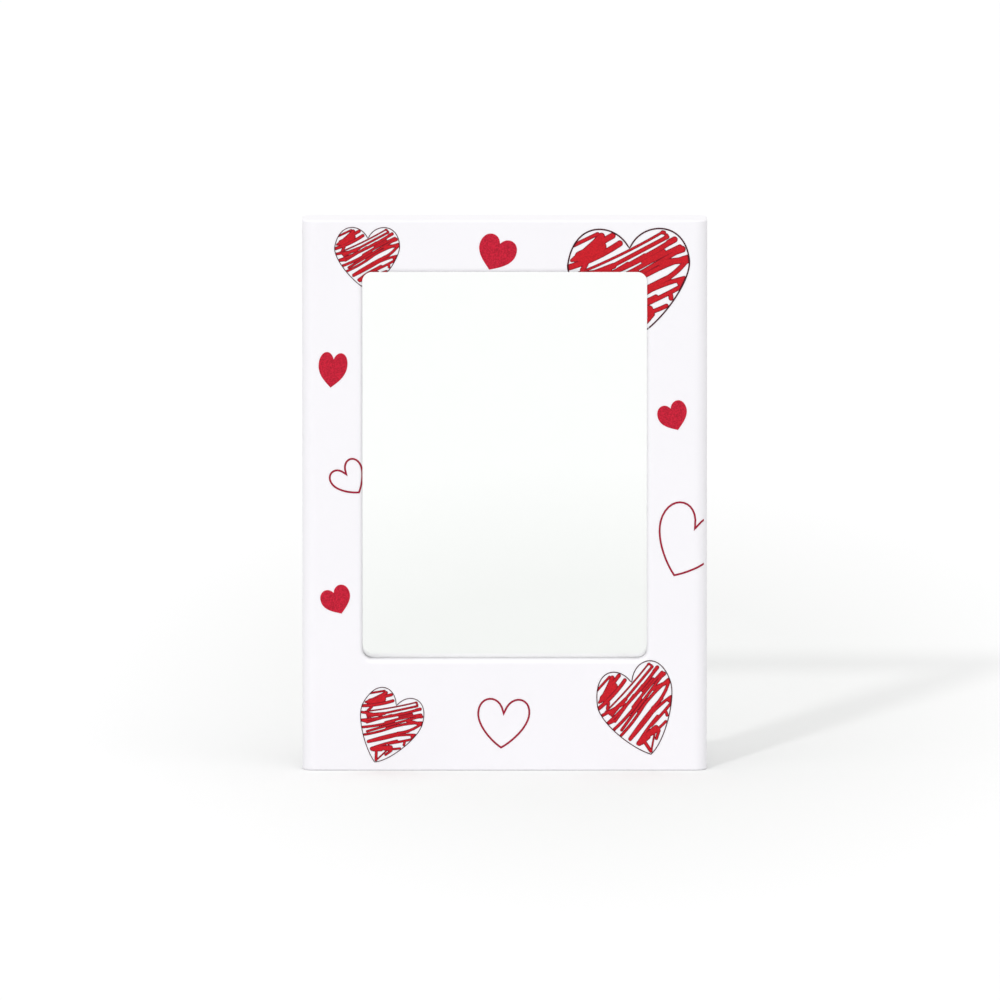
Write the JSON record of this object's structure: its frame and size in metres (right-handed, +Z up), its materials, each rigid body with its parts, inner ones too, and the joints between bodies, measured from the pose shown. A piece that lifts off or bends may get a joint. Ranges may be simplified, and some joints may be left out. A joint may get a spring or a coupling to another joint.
{
  "type": "magnetic photo frame",
  "caption": "White two-part magnetic frame for an instant print, with a clear see-through window, printed hearts and magnets in the side rails.",
  "frame": {"origin": "centre of the base, midway between the front and back faces", "axes": "+Z up the frame, +Y towards the back, +X to the right as seen from the front"},
  "size_m": [0.0654, 0.0091, 0.0895],
  "materials": {
    "white_plastic": "smooth moulded white plastic with a soft sheen",
    "clear_sheet": "clear polished plastic sheet",
    "plated_magnet": "bright nickel plating",
    "red_ink": "cured red printing ink",
    "crimson_ink": "cured crimson printing ink",
    "line_ink": "cured dark red printing ink of the thin lines"
  },
  "bodies": {
    "front_half": {"front_frame": "white_plastic", "front_window": "clear_sheet", "front_magnet_upper_left": "plated_magnet", "front_magnet_upper_right": "plated_magnet", "front_magnet_lower_left": "plated_magnet", "front_magnet_lower_right": "plated_magnet", "heart_top_left": "red_ink", "heart_top": "crimson_ink", "heart_top_right": "red_ink", "heart_left": "crimson_ink", "heart_left_outline": "line_ink", "heart_lower_left": "crimson_ink", "heart_right": "crimson_ink", "heart_right_outline": "line_ink", "heart_bottom_left": "red_ink", "heart_bottom": "line_ink", "heart_bottom_right": "red_ink", "heart_top_left_contour": "line_ink", "heart_top_right_contour": "line_ink", "heart_bottom_left_contour": "line_ink", "heart_bottom_right_contour": "line_ink"},
    "rear_half": {"rear_frame": "white_plastic", "rear_window": "clear_sheet", "rear_magnet_upper_left": "plated_magnet", "rear_magnet_upper_right": "plated_magnet", "rear_magnet_lower_left": "plated_magnet", "rear_magnet_lower_right": "plated_magnet"}
  },
  "joints": [
    {"name": "rear_half_pull", "type": "slide", "parent": "front_half", "child": "rear_half", "axis": [0, 1, 0], "range_m": [0, 0.02]}
  ]
}
